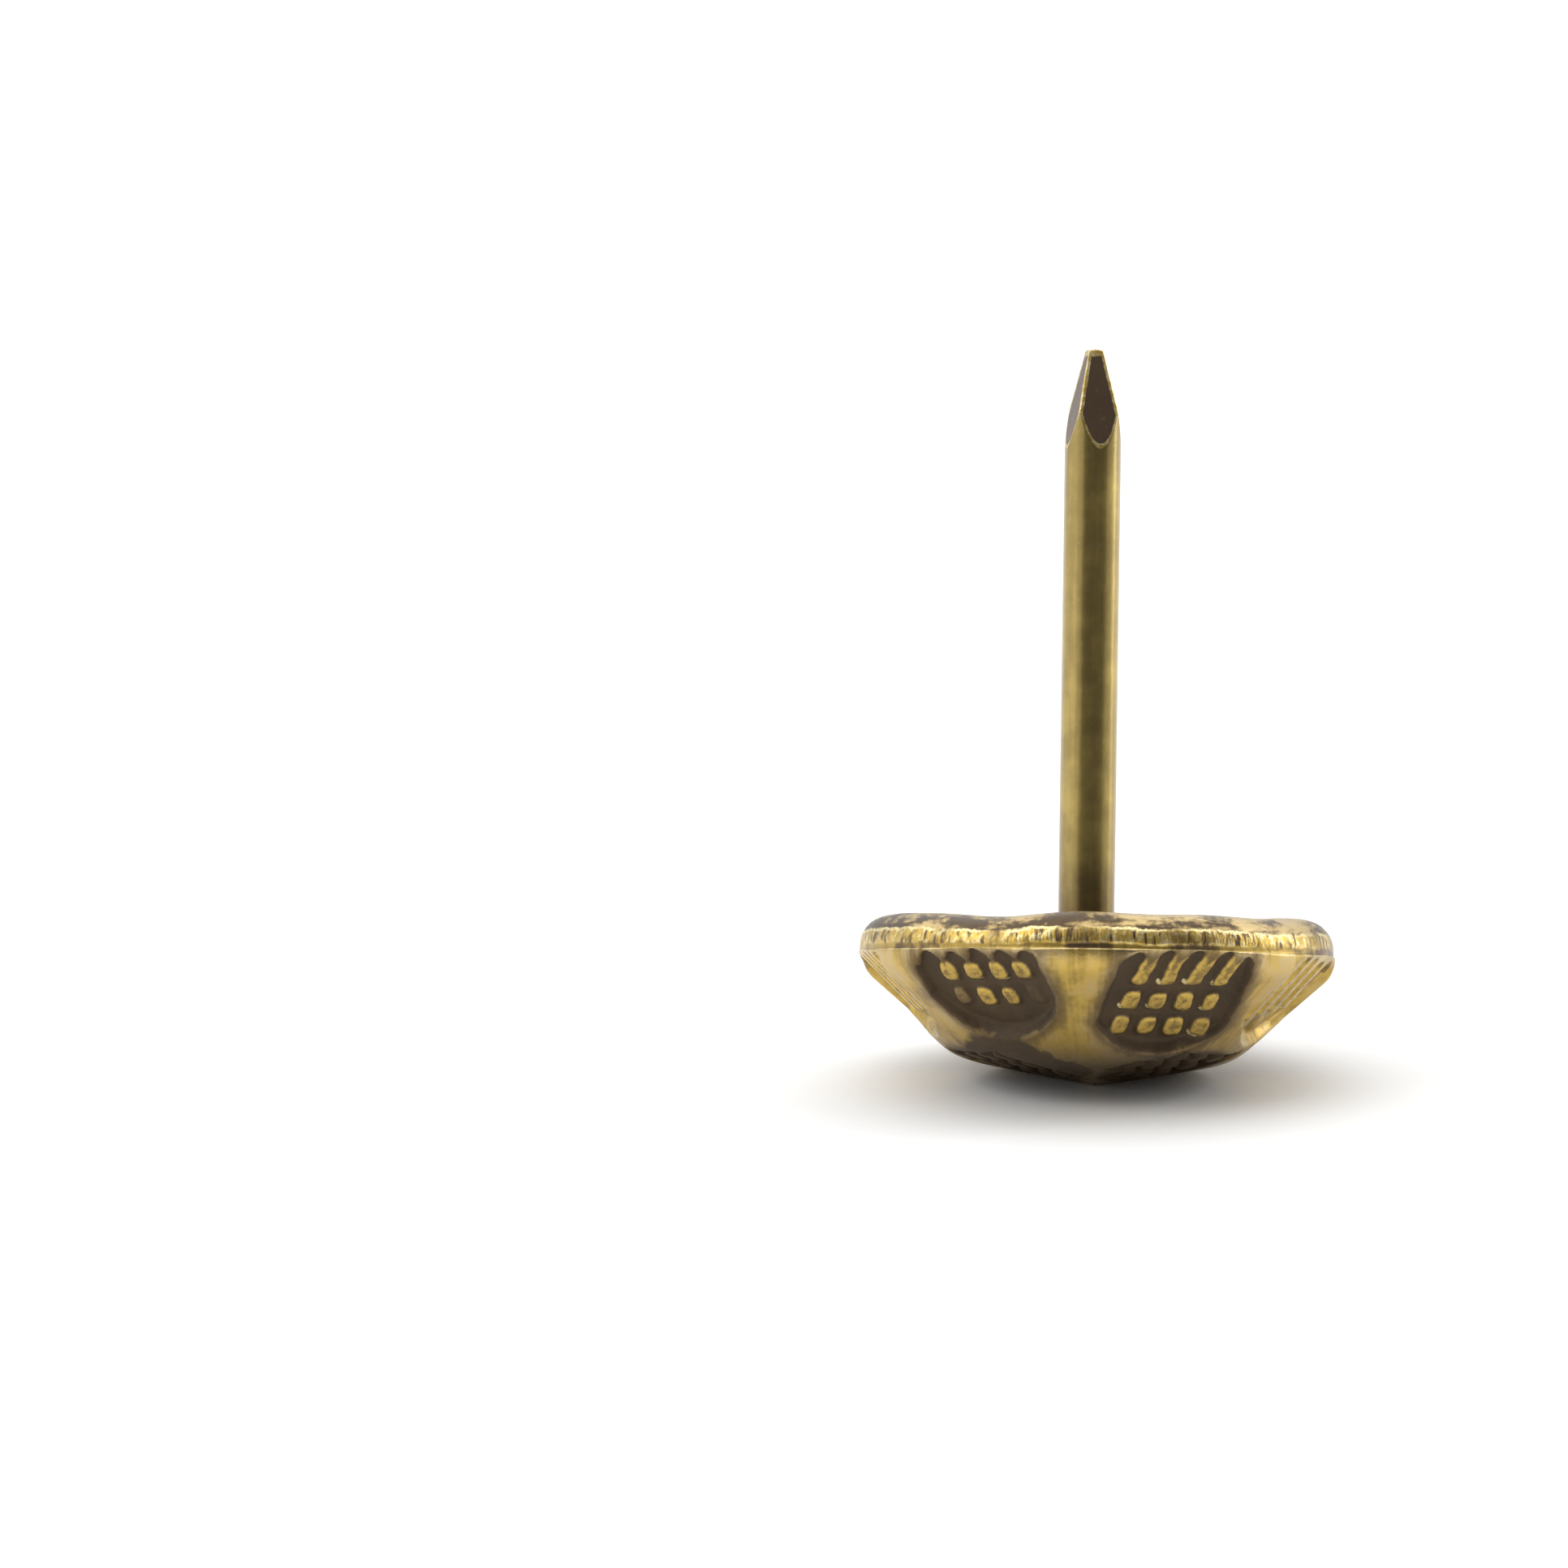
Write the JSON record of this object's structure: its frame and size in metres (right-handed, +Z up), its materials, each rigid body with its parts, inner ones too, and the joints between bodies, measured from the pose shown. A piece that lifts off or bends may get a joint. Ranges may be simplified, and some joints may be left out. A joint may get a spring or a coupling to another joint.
{
  "type": "upholstery tack",
  "caption": "Upholstery tack: a hollow pressed head struck all over with waffle marks, its lip turned in, and a wire shank with a four-sided cut point.",
  "frame": {"origin": "middle of the base of the bounding box, on the surface the head rests on", "axes": "+Z up from the surface it stands on; the shank points up and leans 12.5 degrees towards +Y, because the head lies on one flat of its crown"},
  "size_m": [0.011, 0.0108, 0.0166],
  "materials": {
    "plated_head": "antique brass, dark in the hollows and rubbed bright on the high places",
    "plated_wire": "antique brass, drawn and lightly rubbed"
  },
  "bodies": {
    "root": {"head": "plated_head", "shank": "plated_wire"}
  },
  "joints": []
}
